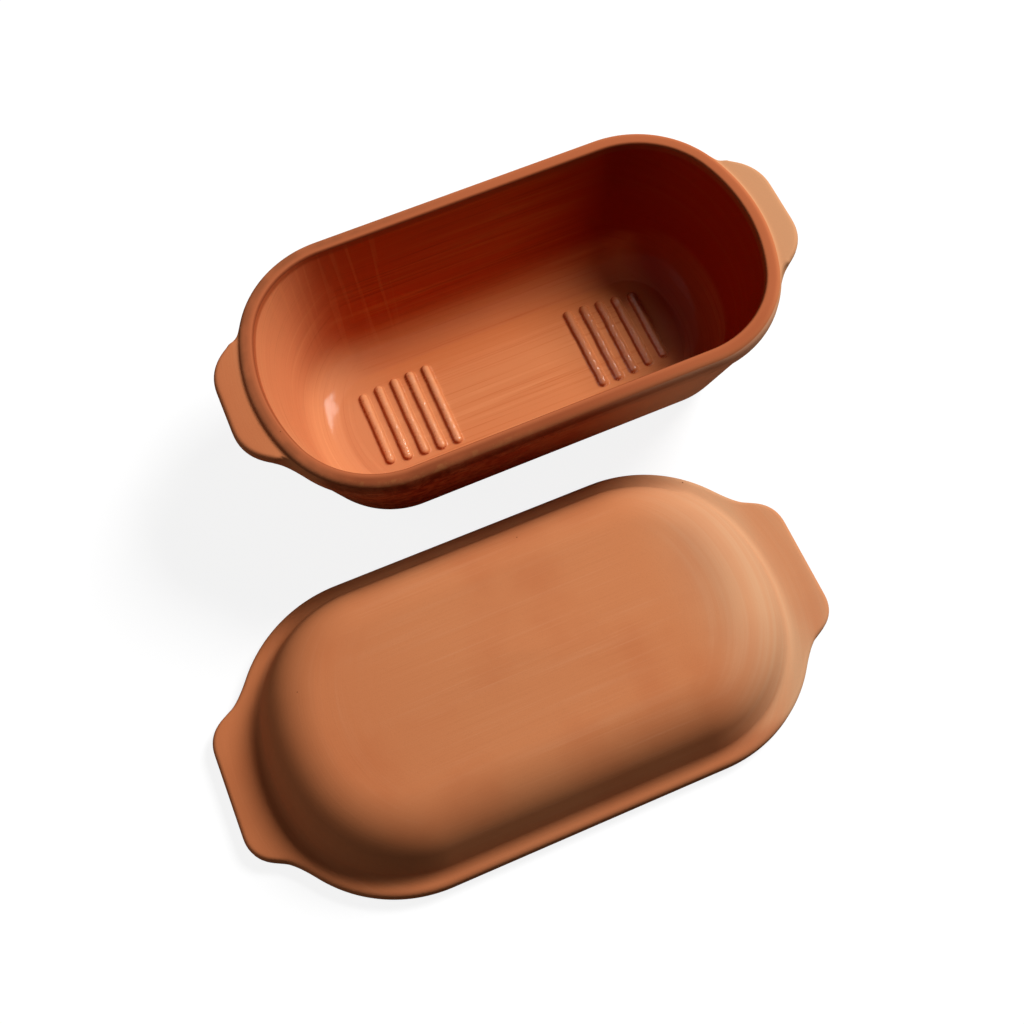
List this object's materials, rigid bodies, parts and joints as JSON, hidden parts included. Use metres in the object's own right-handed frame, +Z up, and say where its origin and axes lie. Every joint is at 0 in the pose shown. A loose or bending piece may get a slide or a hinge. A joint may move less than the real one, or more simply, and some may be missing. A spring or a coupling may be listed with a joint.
{
  "type": "clay roaster",
  "caption": "Oblong fired-clay roaster: deep pan with a ribbed glazed floor and flat end handles, and a hollow domed lid with a flange and matching handles, lying beside it.",
  "frame": {"origin": "centre of the pan's flat foot, on the surface that it stands on", "axes": "+X along the pan from handle to handle, +Y away from the lid, +Z up"},
  "size_m": [0.4754, 0.404, 0.109],
  "materials": {
    "pan_clay": "fired clay, clear gloss glaze inside, bare and wiped outside",
    "lid_clay": "bare fired clay, matte, with fine wiping streaks"
  },
  "bodies": {
    "pan": {"pan": "pan_clay"},
    "lid": {"lid": "lid_clay"}
  },
  "joints": [
    {"name": "lid_lift", "type": "slide", "parent": "pan", "child": "lid", "axis": [0, 0, 1], "range_m": [0, 0.15]}
  ]
}
